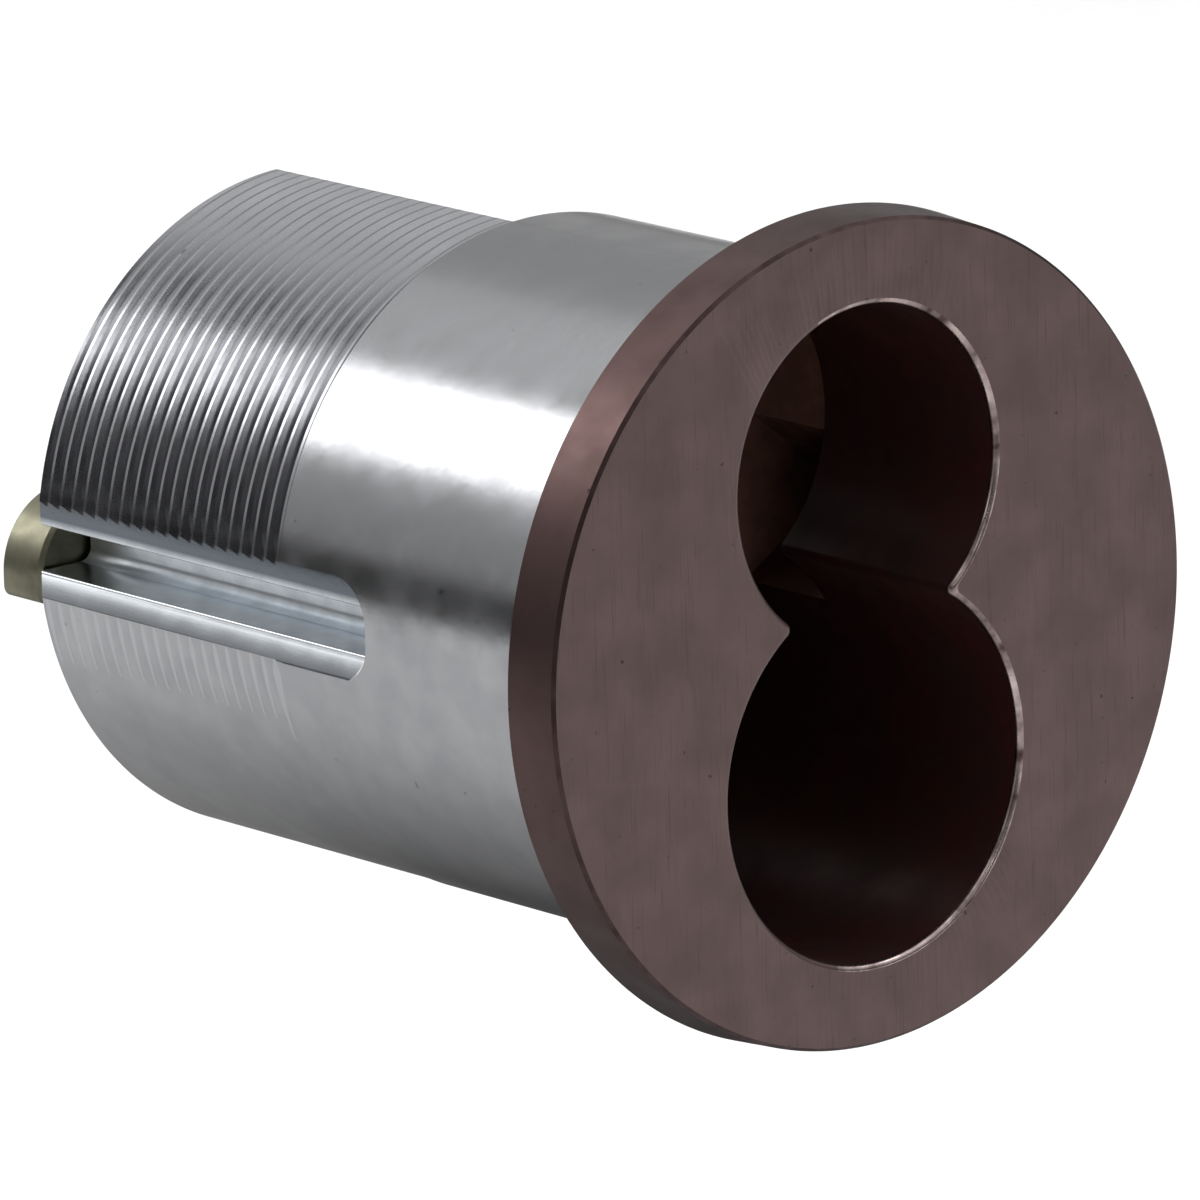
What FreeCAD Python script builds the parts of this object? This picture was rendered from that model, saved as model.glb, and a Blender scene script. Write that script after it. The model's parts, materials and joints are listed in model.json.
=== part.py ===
import FreeCAD, Part
import math
import os

from FreeCAD import Vector

# Mortise cylinder housing for a small-format interchangeable core, shown with no core in it.
# The origin is the centre of the seat behind the head, on the barrel's axis.
# +Y runs back along the barrel to the cam, +Z is up, +X is to the right seen from the front.
# All sizes are in millimetres.

# Head: a thin disc whose rim opens slightly towards the door
head_front_radius = 17.46
head_rear_radius = 17.63
head_thickness = 2.75
head_edge_break = 0.15

# Barrel
barrel_radius = 14.6
barrel_length = 34.5
barrel_end_chamfer = 0.6

# Thread: its crests lie a little below the smooth length of the barrel
thread_front = 18.45
thread_crest_drop = 0.05

# Core bore: two overlapping round bores, the lower one on the axis of the plug. They fill the
# barrel up to the walls below and above them.
plug_wall = 0.64
stack_wall = 0.70
lobe_overlap = 2.52
lobe_difference = 0.99
bore_edge_break = 0.25
waist_round = 0.3
rear_wall = 2.7

# Chamber behind the core for the pins and the flange, a little wider than the plug's bore
chamber_step = 0.2
chamber_lead = 0.24
core_stop_gap = 0.14

# Recess in the right wall of the bore for the core's control lug, swept about the plug's axis
lug_recess_wall = 1.0
lug_recess_low_angle = 32.0
lug_recess_high_angle = 66.0
lug_recess_length = 5.0
lug_recess_depth_from_face = 10.5

# Slots in both flanks for the clamp screw of the lock: a deep channel between broad bevels
slot_width = 2.0
slot_depth = 3.4
slot_height_above_axis = 0.04
slot_bevel_width = 1.52
slot_bevel_depth = 0.75
slot_front = 12.35
slot_front_bevel = 0.5
slot_front_round = 1.7
slot_channel_round = 0.8
slot_floor_round = 0.6

# A round takes no more than this share of the wall or corner that carries it
round_limit = 0.92

# Relief: a flat at the upper right of the threaded length
relief_angle = 70.0
relief_depth = 1.27
relief_front = 17.95

# Throw member: a flange inside the rear wall and a hub that turns in the wall
hub_radius = 6.0
hub_running_clearance = 0.05
flange_side_play = 0.69
flange_thickness = 1.3
flange_end_play = 0.06
hub_edge_break = 0.2

# Drive pins, pressed into the flange, that enter the back of the core
pin_radius = 1.19
pin_spacing = 6.35
pin_reach = 4.0
pin_seat_depth = 2.6
pin_seat_clearance = 0.01
pin_tip_chamfer = 0.3

# Cam: a hub plate with one tongue that lies level with the middle of the barrel
cam_gap = 0.25
cam_thickness = 2.65
cam_plate_radius = 7.7
cam_tongue_reach = 13.85
cam_tongue_bottom = 2.6
cam_tip_round = 3.4
cam_heel_round = 0.5
cam_notch_round = 1.2
cam_tip_flat = 0.2

# Cam screws: flat-head machine screws, one above and one below the plug's axis
screw_radius = 1.42
screw_head_radius = 2.6
screw_head_edge = 0.25
screw_head_taper = 1.1
screw_spacing = 6.8
screw_length = 5.2
screw_slot_width = 0.65
screw_slot_depth = 0.6
screw_hole_clearance = 0.12
screw_seat_clearance = 0.02
screw_end_chamfer = 0.3

# Cutters run this far past the faces that they open, and slanted ones only a little
cutter_overrun = 2.0
slant_overrun = 0.5

# Two edges closer than this are taken for the same one
same_place = 0.001

ALONG = Vector(0, 1, 0)

face_y = -head_thickness
radii_together = barrel_radius + (lobe_overlap - plug_wall - stack_wall) / 2
plug_bore_radius = (radii_together + lobe_difference) / 2
stack_bore_radius = (radii_together - lobe_difference) / 2
plug_drop = barrel_radius - plug_wall - plug_bore_radius
stack_rise = barrel_radius - stack_wall - stack_bore_radius
lug_recess_radius = barrel_radius - lug_recess_wall
chamber_radius = plug_bore_radius + chamber_step
flange_radius = chamber_radius - flange_side_play
wall_front = barrel_length - rear_wall
wall_back = barrel_length
flange_back = wall_front - flange_end_play
flange_front = flange_back - flange_thickness
core_stop = flange_front - core_stop_gap
pin_tip = flange_front - pin_reach
cam_front = wall_back + cam_gap
cam_back = cam_front + cam_thickness


def rod(radius, start, end, x=0.0, z=0.0):
    """A cylinder along Y from start to end."""
    return Part.makeCylinder(radius, end - start, Vector(x, start, z), ALONG)


def cone(radius_start, radius_end, start, end, x=0.0, z=0.0):
    """A cone along Y from start to end."""
    return Part.makeCone(radius_start, radius_end, end - start, Vector(x, start, z), ALONG)


def turned(profile, x=0.0, z=0.0):
    """A turned solid: (radius, y) points in order round half of the section."""
    points = [Vector(x + radius, y, z) for radius, y in profile]
    face = Part.Face(Part.makePolygon(points + points[:1]))
    return face.revolve(Vector(x, 0, z), ALONG, 360)


def on_circle(radius, degrees, y, z=0.0):
    """A point at an angle, counted up from +X, on a circle about an axis along Y."""
    angle = math.radians(degrees)
    return Vector(radius * math.cos(angle), y, z + radius * math.sin(angle))


def blank():
    """Head, smooth barrel and threaded length, turned from one bar."""
    crest_radius = barrel_radius - thread_crest_drop
    profile = [
        (0.0, face_y),
        (head_front_radius - head_edge_break, face_y),
        (head_front_radius, face_y + head_edge_break),
        (head_rear_radius, -head_edge_break),
        (head_rear_radius - head_edge_break, 0.0),
        (barrel_radius, 0.0),
        (barrel_radius, thread_front),
        (crest_radius, thread_front),
        (crest_radius, barrel_length - barrel_end_chamfer),
        (crest_radius - barrel_end_chamfer, barrel_length),
        (0.0, barrel_length),
    ]
    return turned(profile)


def core_bore():
    """The figure-of-eight bore, with blunt ridges at its waist and a broken edge at its mouth."""
    start = face_y - cutter_overrun
    bore = rod(plug_bore_radius, start, core_stop, z=-plug_drop)
    bore = bore.fuse(rod(stack_bore_radius, start, core_stop, z=stack_rise)).removeSplitter()
    ridges = [edge for edge in bore.Edges if is_waist_ridge(edge)]
    bore = bore.makeFillet(waist_round, ridges)
    edge_start = face_y - bore_edge_break
    edge_end = face_y + bore_edge_break
    for radius, z in ((plug_bore_radius, -plug_drop), (stack_bore_radius, stack_rise)):
        bore = bore.fuse(cone(radius + 2 * bore_edge_break, radius, edge_start, edge_end, z=z))
    return bore


def is_waist_ridge(edge):
    """True for the two straight edges where the round bores meet, off the cylinders' seams."""
    box = edge.BoundBox
    straight = isinstance(edge.Curve, Part.Line)
    between = -plug_drop < box.ZMin < stack_rise
    off_middle = min(abs(box.XMin), abs(box.XMax)) > waist_round
    return straight and box.YLength > rear_wall and between and off_middle


def chamber():
    """The round space behind the core, in which the pins and the flange turn."""
    return rod(chamber_radius, pin_tip - chamber_lead, wall_front, z=-plug_drop)


def lug_recess():
    """A sector about the plug's axis, cut into the right wall of the bore."""
    y = face_y + lug_recess_depth_from_face
    centre = Vector(0, y, -plug_drop)
    middle = (lug_recess_low_angle + lug_recess_high_angle) / 2
    low = on_circle(lug_recess_radius, lug_recess_low_angle, y, -plug_drop)
    crest = on_circle(lug_recess_radius, middle, y, -plug_drop)
    high = on_circle(lug_recess_radius, lug_recess_high_angle, y, -plug_drop)
    outline = Part.Wire([
        Part.LineSegment(centre, low).toShape(),
        Part.Arc(low, crest, high).toShape(),
        Part.LineSegment(high, centre).toShape(),
    ])
    return Part.Face(outline).extrude(ALONG * lug_recess_length)


def slot_plan(x, half_width, front, round_radius):
    """The slot's outline in a plane of constant x, square at the back and rounded in front."""
    back = barrel_length + cutter_overrun
    top = slot_height_above_axis + half_width
    bottom = slot_height_above_axis - half_width
    near = front + round_radius
    corner = round_radius * (1 - math.sqrt(0.5))
    return Part.Wire([
        Part.LineSegment(Vector(x, back, bottom), Vector(x, near, bottom)).toShape(),
        Part.Arc(Vector(x, near, bottom), Vector(x, front + corner, bottom + corner),
                 Vector(x, front, bottom + round_radius)).toShape(),
        Part.LineSegment(Vector(x, front, bottom + round_radius),
                         Vector(x, front, top - round_radius)).toShape(),
        Part.Arc(Vector(x, front, top - round_radius), Vector(x, front + corner, top - corner),
                 Vector(x, near, top)).toShape(),
        Part.LineSegment(Vector(x, near, top), Vector(x, back, top)).toShape(),
        Part.LineSegment(Vector(x, back, top), Vector(x, back, bottom)).toShape(),
    ])


def flank_slot(side):
    """One clamp-screw slot; side is -1 for the left flank and 1 for the right."""
    half = slot_width / 2
    proud = slant_overrun
    grow = proud / slot_bevel_depth
    outer_x = side * (barrel_radius + proud)
    step_x = side * (barrel_radius - slot_bevel_depth)
    floor_x = side * (barrel_radius - slot_depth)
    outer_half = half + slot_bevel_width * (1 + grow)
    outer_front = slot_front - slot_front_bevel * grow
    channel_round = min(slot_channel_round, round_limit * half)
    floor_round = min(slot_floor_round, round_limit * channel_round)
    outer_round = slot_front_round + (slot_front_round - channel_round) * grow
    step_front = slot_front + slot_front_bevel
    outer = slot_plan(outer_x, outer_half, outer_front, outer_round)
    step = slot_plan(step_x, half, step_front, channel_round)
    floor = slot_plan(floor_x, half, step_front, channel_round)
    bevels = Part.makeLoft([outer, step], True, True)
    channel = Part.makeLoft([step, floor], True, True)
    floor_edges = [edge for edge in channel.Edges if is_floor_edge(edge, floor_x)]
    return bevels.fuse(channel.makeFillet(floor_round, floor_edges))


def is_floor_edge(edge, floor_x):
    """True for the edges round a slot's floor, apart from the one behind the barrel's end."""
    box = edge.BoundBox
    level = max(abs(box.XMin - floor_x), abs(box.XMax - floor_x)) < same_place
    return level and box.YMin < barrel_length


def relief():
    """What the flat takes off: everything beyond its plane, from its shoulder to the end."""
    size = 2 * barrel_radius
    length = barrel_length + cutter_overrun - relief_front
    block = Part.makeBox(size, length, size, Vector(-size / 2, relief_front, 0))
    block.translate(Vector(0, 0, barrel_radius - relief_depth))
    block.rotate(Vector(0, 0, 0), ALONG, 90 - relief_angle)
    return block


def housing():
    """The one-piece body with its core bore, flank slots, relief and the hole for the hub."""
    body = blank()
    body = body.cut(core_bore())
    body = body.cut(chamber())
    body = body.cut(lug_recess())
    body = body.cut(rod(hub_radius + hub_running_clearance, wall_front - slant_overrun,
                        wall_back + cutter_overrun, z=-plug_drop))
    for side in (-1, 1):
        body = body.cut(flank_slot(side))
    return body.cut(relief())


def pin_places():
    """The x of each drive pin, left and right of the plug's axis."""
    return {"left": -pin_spacing / 2, "right": pin_spacing / 2}


def screw_places():
    """The z of each cam screw, below and above the plug's axis."""
    return {"lower": -plug_drop - screw_spacing / 2, "upper": -plug_drop + screw_spacing / 2}


def throw_member():
    """Flange and hub in one piece, with holes for the drive pins and the cam screws."""
    body = turned([
        (0.0, flange_front),
        (flange_radius - hub_edge_break, flange_front),
        (flange_radius, flange_front + hub_edge_break),
        (flange_radius, flange_back),
        (hub_radius, flange_back),
        (hub_radius, cam_front - hub_edge_break),
        (hub_radius - hub_edge_break, cam_front),
        (0.0, cam_front),
    ], z=-plug_drop)
    for x in pin_places().values():
        seat_radius = pin_radius + pin_seat_clearance
        body = body.cut(rod(seat_radius, flange_front - cutter_overrun,
                            flange_front + pin_seat_depth, x, -plug_drop))
    for z in screw_places().values():
        bottom = cam_back - screw_length - screw_end_chamfer
        tapped_radius = screw_radius + screw_seat_clearance
        body = body.cut(rod(tapped_radius, bottom, cam_front + cutter_overrun, z=z))
    return body


def drive_pin(x):
    """A plain dowel with a chamfered tip."""
    return turned([
        (0.0, pin_tip),
        (pin_radius - pin_tip_chamfer, pin_tip),
        (pin_radius, pin_tip + pin_tip_chamfer),
        (pin_radius, flange_front + pin_seat_depth),
        (0.0, flange_front + pin_seat_depth),
    ], x, -plug_drop)


def screw_profile(grow):
    """Half of a flat-head screw's section, grown all round for the seat that it lies in."""
    shank = screw_radius + grow
    head = screw_head_radius + grow
    taper_end = cam_back - screw_head_edge - screw_head_taper
    return shank, head, taper_end


def cam_outline():
    """The cam's edge: a round plate whose top runs level out to the rounded tip of the tongue."""
    y = cam_front
    top = cam_plate_radius - plug_drop
    bottom = -cam_tongue_bottom
    tip = -cam_tongue_reach
    tip_round = min(cam_tip_round, top - bottom - cam_heel_round - cam_tip_flat)
    notch_x = -math.sqrt(cam_plate_radius ** 2 - (bottom + plug_drop) ** 2)
    tip_corner = tip_round * (1 - math.sqrt(0.5))
    heel_corner = cam_heel_round * (1 - math.sqrt(0.5))
    notch = Vector(notch_x, y, bottom)
    plate_top = Vector(0, y, top)
    plate_right = Vector(cam_plate_radius, y, -plug_drop)
    tongue_top = Vector(tip + tip_round, y, top)
    tip_end = Vector(tip, y, top - tip_round)
    heel_start = Vector(tip, y, bottom + cam_heel_round)
    heel_end = Vector(tip + cam_heel_round, y, bottom)
    return Part.Wire([
        Part.Arc(notch, plate_right, plate_top).toShape(),
        Part.LineSegment(plate_top, tongue_top).toShape(),
        Part.Arc(tongue_top, Vector(tip + tip_corner, y, top - tip_corner), tip_end).toShape(),
        Part.LineSegment(tip_end, heel_start).toShape(),
        Part.Arc(heel_start, Vector(tip + heel_corner, y, bottom + heel_corner),
                 heel_end).toShape(),
        Part.LineSegment(heel_end, notch).toShape(),
    ])


def is_notch_edge(edge):
    """True for the inner corner where the tongue leaves the plate."""
    box = edge.BoundBox
    across = box.YLength > cam_thickness / 2
    level = max(abs(box.ZMin + cam_tongue_bottom), abs(box.ZMax + cam_tongue_bottom)) < same_place
    heel = cam_heel_round - cam_tongue_reach
    return across and level and box.XMax > heel + same_place


def cam():
    """The cam plate, with countersunk holes for its screws."""
    plate = Part.Face(cam_outline()).extrude(ALONG * cam_thickness)
    plate = plate.makeFillet(cam_notch_round, [e for e in plate.Edges if is_notch_edge(e)])
    shank, head, taper_end = screw_profile(screw_seat_clearance)
    for z in screw_places().values():
        hole_radius = screw_radius + screw_hole_clearance
        plate = plate.cut(rod(hole_radius, cam_front - cutter_overrun,
                              cam_back + cutter_overrun, z=z))
        plate = plate.cut(cone(shank, head, taper_end, cam_back - screw_head_edge, z=z))
        plate = plate.cut(rod(head, cam_back - screw_head_edge, cam_back + cutter_overrun, z=z))
    return plate


def cam_screw(z):
    """A flat-head screw, flush with the back of the cam, with a straight driver slot."""
    shank, head, taper_end = screw_profile(0.0)
    end = cam_back - screw_length
    body = turned([
        (0.0, end),
        (shank - screw_end_chamfer, end),
        (shank, end + screw_end_chamfer),
        (shank, taper_end),
        (head, cam_back - screw_head_edge),
        (head, cam_back),
        (0.0, cam_back),
    ], z=z)
    across = 2 * (head + cutter_overrun)
    corner = Vector(-across / 2, cam_back - screw_slot_depth, z - screw_slot_width / 2)
    slot = Part.makeBox(across, screw_slot_depth + cutter_overrun, screw_slot_width, corner)
    return body.cut(slot)


def parts():
    """Every piece by the name of its node."""
    pieces = {"housing": housing(), "throw_member": throw_member(), "cam": cam()}
    for side, x in pin_places().items():
        pieces["drive_pin_" + side] = drive_pin(x)
    for side, z in screw_places().items():
        pieces["cam_screw_" + side] = cam_screw(z)
    return pieces


os.makedirs("parts", exist_ok=True)
for name, shape in parts().items():
    solid = shape.Solids[0]
    solid.exportStep("parts/" + name + ".step")
    print(name, len(shape.Solids), "solid,", round(solid.Volume, 2), "mm3, valid", solid.isValid())
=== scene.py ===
import json
import math

import bpy
from mathutils import Matrix, Vector


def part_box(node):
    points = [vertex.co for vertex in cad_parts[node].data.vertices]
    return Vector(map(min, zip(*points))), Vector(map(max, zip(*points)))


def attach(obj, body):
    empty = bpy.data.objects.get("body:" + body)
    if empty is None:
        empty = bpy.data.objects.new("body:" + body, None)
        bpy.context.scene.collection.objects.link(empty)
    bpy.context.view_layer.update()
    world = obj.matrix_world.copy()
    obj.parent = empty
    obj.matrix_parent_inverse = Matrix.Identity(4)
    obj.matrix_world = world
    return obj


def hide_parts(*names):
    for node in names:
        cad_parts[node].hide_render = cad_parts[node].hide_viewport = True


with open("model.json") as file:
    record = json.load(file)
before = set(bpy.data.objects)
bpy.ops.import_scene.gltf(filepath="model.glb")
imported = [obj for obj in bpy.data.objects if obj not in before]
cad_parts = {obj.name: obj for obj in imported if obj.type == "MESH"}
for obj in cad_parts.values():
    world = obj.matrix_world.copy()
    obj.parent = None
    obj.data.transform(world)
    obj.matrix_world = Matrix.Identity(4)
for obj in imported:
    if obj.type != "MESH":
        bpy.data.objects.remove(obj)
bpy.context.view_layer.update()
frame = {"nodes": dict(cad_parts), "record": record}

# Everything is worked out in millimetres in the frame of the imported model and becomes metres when
# a piece is finished. The origin is the centre of the seat behind the head, +Y runs back along
# the barrel and +Z is up.
MM = 0.001

# What the frame gives: each node's lowest and highest corner, and the mounts
LOW = {node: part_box(node)[0] / MM for node in frame["nodes"]}
HIGH = {node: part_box(node)[1] / MM for node in frame["nodes"]}
MOUNTS = {mount["name"]: mount for mount in frame["record"]["mounts"]}

# Head and barrel
FACE_Y = LOW["housing"].y
HEAD_REAR_RADIUS = HIGH["housing"].x
HEAD_TAPER = 0.17
HEAD_EDGE = 0.15
BARREL_RADIUS = MOUNTS["barrel"]["dims"]["r_mm"]
BARREL_LENGTH = HIGH["housing"].y
BARREL_CHAMFER = 0.6

# Core bore
PLUG_BORE = MOUNTS["plug_bore"]["dims"]["r_mm"]
PLUG_DROP = -MOUNTS["plug_bore"]["pos_m"][2] / MM
STACK_BORE = MOUNTS["stack_bore"]["dims"]["r_mm"]
STACK_RISE = MOUNTS["stack_bore"]["pos_m"][2] / MM
BORE_EDGE = 0.25
WAIST_ROUND = 0.3
CORE_STOP_GAP = 0.14
CHAMBER_STEP = 0.2
CHAMBER_LEAD = 0.24
REAR_WALL = 2.7
LUG_RADIUS = 13.6
LUG_ANGLES = (32.0, 66.0)
LUG_FROM_FACE = 10.5
LUG_LENGTH = 5.0

# Clamp-screw slots in the flanks: broad bevels down to a narrow channel, the slot's front end
# round. The lower bevel's depth and bow come first, then the upper's; the lower one is domed and
# the upper one hollow. The cutter carries its bevels on above the barrel by a share of their width.
SLOT_WIDTH = 2.0
SLOT_DEPTH = 3.4
SLOT_HEIGHT = 0.04
SLOT_BEVEL_WIDTH = 1.52
SLOT_BEVEL_DEPTHS = (0.68, 0.75)
SLOT_BEVEL_BOWS = (-0.25, 0.8)
SLOT_EDGE_ROUND = 0.1
SLOT_FRONT = 12.35
SLOT_FRONT_BEVEL = 0.5
SLOT_END_HALF = 2.3
SLOT_END_ROUND = 2.2
SLOT_CHANNEL_ROUND = 0.8
SLOT_FLOOR_ROUND = 0.6
SLOT_LEAD_SHARE = 0.5

# How far out from the channel each bevel's colour starts to change to painted shade, and where it
# has changed
LOWER_BEVEL_PAINTED_SHADE = (0.1, 1.1)
UPPER_BEVEL_PAINTED_SHADE = (0.05, 0.4)

# Relief flat at the upper right
RELIEF_ANGLE = 70.0
RELIEF_DEPTH = 1.27
RELIEF_FRONT = 17.95

# Thread: 32 to the inch, cut into the flanks and over the top, and fading out at each slot. The
# spare turns are cut before and behind the threaded length.
THREAD_FRONT = 18.0
THREAD_CREST_DROP = 0.05
THREAD_PITCH = 25.4 / 32
THREAD_DEPTH = 0.47
THREAD_ROOT = 0.05
THREAD_FLANK = 30.0
THREAD_FIRST = 18.14
THREAD_ENDS = (-25.0, 205.0)
THREAD_FULL = (12.5, 167.5)
THREAD_FIRST_TURN = 1
THREAD_SPARE_TURNS = (1, 2)

# Share of the thread's depth left at a number of degrees past its full length: it fades out over
# the slot, and below the slot it touches the barrel once more. The first turn touches it deeper.
# The cutter's shoulders are worked out for a groove at least as deep as the last size, so that
# shallow touches stay narrow.
THREAD_FADE = ((0.0, 1.0), (6.0, 0.3), (20.0, -0.02), (22.0, 0.08), (34.0, -0.02))
THREAD_FIRST_FADE = ((0.0, 1.0), (6.0, 0.3), (20.0, -0.02), (22.0, 0.16), (37.0, -0.02))
THREAD_LEAST = 0.1

# Throw member, pins, cam and screws
HUB_RADIUS = 6.0
HUB_CLEARANCE = 0.05
FLANGE_THICKNESS = 1.3
TURNED_EDGE = 0.2
PIN_TIP_ROUND = 0.35
CAM_TONGUE_BOTTOM = 2.6
CAM_TIP_ROUND = 3.4
CAM_HEEL_ROUND = 0.5
CAM_NOTCH_ROUND = 1.2
CAM_EDGE = 0.18
SCREW_RADIUS = 1.42
SCREW_HEAD_EDGE = 0.25
SCREW_HEAD_BREAK = 0.08
SCREW_TAPER = 1.1
SCREW_END = 0.3
SCREW_SLOT_WIDTH = 0.65
SCREW_SLOT_DEPTH = 0.6
SCREW_HOLE_CLEARANCE = 0.12
SEAT_CLEARANCE = 0.02

CREST_RADIUS = BARREL_RADIUS - THREAD_CREST_DROP
WALL_FRONT = BARREL_LENGTH - REAR_WALL
FLANGE_FRONT = LOW["throw_member"].y
CAM_FRONT = LOW["cam"].y
CAM_BACK = HIGH["cam"].y

# Cutters run this far past the faces that they open, and the hub's hole starts this far inside the
# chamber
OVERRUN = 2.0
HUB_HOLE_LEAD = 0.5

# Points closer than this are taken for the same one, and a turned solid's axis is this thin
SAME_PLACE = 0.001
AXIS = 0.001

# Edges that turn by more degrees than this stay crisp
SHARP_ANGLE = 30.0

# Straight steps round a full turn, then along a single curve, then in a rounded edge
BARREL_STEPS = 480
TURNED_STEPS = 256
SCREW_STEPS = 96
PIN_STEPS = 64
THREAD_STEPS = 170
BORE_STEPS = 120
CAM_STEPS = 96
CAM_TIP_STEPS = 24
CAM_HEEL_STEPS = 10
CAM_NOTCH_STEPS = 12
LUG_STEPS = 24
SLOT_END_STEPS = 16
SLOT_BEVEL_STEPS = 10
WAIST_STEPS = 10
EDGE_STEPS = 5
SLOT_FLOOR_STEPS = 8
PIN_TIP_STEPS = 6

# Material places on the housing, in the order in which it is given its materials
(BARREL_FINISH, HEAD_FINISH, RIM_FINISH, EDGE_FINISH, MOUTH_FINISH, BORE_FINISH, RECESS_FINISH,
 THREAD_FINISH, LOWER_BEVEL_FINISH, UPPER_BEVEL_FINISH, CHANNEL_FINISH) = range(11)


# Mesh helpers

def solid(name, vertices, faces, finish=0):
    """A mesh object from vertices in millimetres, all its faces with one material place."""
    mesh = bpy.data.meshes.new(name)
    mesh.from_pydata([tuple(v) for v in vertices], [], faces)
    mesh.polygons.foreach_set("material_index", [finish] * len(faces))
    mesh.update()
    made = bpy.data.objects.new(name, mesh)
    bpy.context.scene.collection.objects.link(made)
    return made


def loft(name, rings, finish=0):
    """A closed solid through rings of the same number of points, with a flat cap at each end."""
    count = len(rings[0])
    vertices = [point for ring in rings for point in ring]
    faces = []
    for low in range(0, count * (len(rings) - 1), count):
        for i in range(count):
            j = (i + 1) % count
            faces.append((low + i, low + j, low + count + j, low + count + i))
    faces.append(tuple(reversed(range(count))))
    faces.append(tuple(range(count * (len(rings) - 1), count * len(rings))))
    return facing_out(solid(name, vertices, faces, finish))


def facing_out(piece):
    """Turns the faces of a closed mesh outwards."""
    volume = 0.0
    mesh = piece.data
    for face in mesh.polygons:
        points = [mesh.vertices[i].co for i in face.vertices]
        for b, c in zip(points[1:], points[2:]):
            volume += points[0].dot(b.cross(c))
    if volume < 0:
        mesh.flip_normals()
    return piece


def along_y(name, outline, start, end, finish=0):
    """A straight solid along Y from an outline of (x, z) points."""
    rings = [[Vector((x, y, z)) for x, z in outline] for y in (start, end)]
    return loft(name, rings, finish)


def turned(name, profile, x=0.0, z=0.0, steps=TURNED_STEPS, finish=0):
    """A turned solid: (radius, y) points in order along half of the section, from axis to axis."""
    angles = [math.tau * i / steps for i in range(steps)]
    rings = [[Vector((x + radius * math.cos(a), y, z + radius * math.sin(a))) for a in angles]
             for radius, y in profile]
    return loft(name, rings, finish)


def rod(name, radius, start, end, z=0.0, finish=0):
    """A round cutter along Y."""
    profile = [(AXIS, start), (radius, start), (radius, end), (AXIS, end)]
    return turned(name, profile, z=z, finish=finish)


def refinished(piece, finish, inside):
    """Gives another finish to the faces whose corners all lie inside a region."""
    mesh = piece.data
    for face in mesh.polygons:
        if all(inside(mesh.vertices[i].co) for i in face.vertices):
            face.material_index = finish
    return piece


def joined_cut(piece, cutter):
    """Cuts one closed mesh with another and deletes the cutter."""
    change = piece.modifiers.new("cut", "BOOLEAN")
    change.operation = "DIFFERENCE"
    change.solver = "MANIFOLD"
    change.object = cutter
    graph = bpy.context.evaluated_depsgraph_get()
    result = bpy.data.meshes.new_from_object(piece.evaluated_get(graph))
    piece.modifiers.clear()
    piece.data = result
    bpy.data.objects.remove(cutter)
    return piece


def finished(piece, materials, body, nodes):
    """Turns a piece to metres, shades it, gives it its finish and seats it on its body."""
    piece.data.transform(Matrix.Scale(MM, 4))
    places = [0] * len(piece.data.polygons)
    piece.data.polygons.foreach_get("material_index", places)
    piece.data.materials.clear()
    for material in materials:
        piece.data.materials.append(material)
    piece.data.polygons.foreach_set("material_index", places)
    piece.data.shade_smooth()
    piece.data.set_sharp_from_angle(angle=math.radians(SHARP_ANGLE))
    flat = piece.modifiers.new("large_faces_stay_flat", "WEIGHTED_NORMAL")
    flat.keep_sharp = True
    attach(piece, body)
    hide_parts(*nodes)
    return piece


# Outlines

def arc(centre, radius, start, end, steps):
    """Points on an arc in the x, z plane, angles in degrees from +X towards +Z."""
    angles = [math.radians(start + (end - start) * i / steps) for i in range(steps + 1)]
    return [(centre[0] + radius * math.cos(a), centre[1] + radius * math.sin(a)) for a in angles]


def quarter(steps):
    """The steps of a rounded edge: how far in and how far along, each from 0 to 1."""
    angles = [math.pi / 2 * i / steps for i in range(steps + 1)]
    return [(1 - math.cos(a), math.sin(a)) for a in angles]


def square(size, low=None):
    """A square outline about the axis, or one that starts at a height."""
    bottom = -size if low is None else low
    return [(-size, bottom), (size, bottom), (size, bottom + 2 * size), (-size, bottom + 2 * size)]


def bore_outline(grow):
    """The figure of eight, its waist ridges blunted, grown outwards by a distance."""
    plug, stack = PLUG_BORE + grow, STACK_BORE + grow
    apart = PLUG_DROP + STACK_RISE
    rise = ((plug + WAIST_ROUND) ** 2 - (stack + WAIST_ROUND) ** 2 + apart ** 2) / (2 * apart)
    out = math.sqrt((plug + WAIST_ROUND) ** 2 - rise ** 2)
    ridge = (out, rise - PLUG_DROP)
    from_plug = math.degrees(math.atan2(rise, out))
    from_stack = math.degrees(math.atan2(apart - rise, out))
    points = arc((0, STACK_RISE), stack, -from_stack, 180 + from_stack, BORE_STEPS)
    points += arc((-ridge[0], ridge[1]), WAIST_ROUND, from_stack, -from_plug, WAIST_STEPS)[1:]
    points += arc((0, -PLUG_DROP), plug, 180 - from_plug, 360 + from_plug, BORE_STEPS)[1:]
    points += arc(ridge, WAIST_ROUND, 180 + from_plug, 180 - from_stack, WAIST_STEPS)[1:-1]
    return points


def slot_outline(half_width, front, corner, end_half):
    """Plan of a flank slot as (y, z) points: square at the back, and in front the part of a
    wider round end that lies between its sides."""
    back = BARREL_LENGTH + OVERRUN
    middle = max(half_width, end_half) - corner
    reach = math.degrees(math.asin(min(1.0, (half_width - middle) / corner)))
    low = arc((front + corner, SLOT_HEIGHT - middle), corner, 180 + reach, 180, SLOT_END_STEPS)
    high = arc((front + corner, SLOT_HEIGHT + middle), corner, 180, 180 - reach, SLOT_END_STEPS)
    return ([(back, SLOT_HEIGHT - half_width)] + low + high
            + [(back, SLOT_HEIGHT + half_width)])


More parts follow.
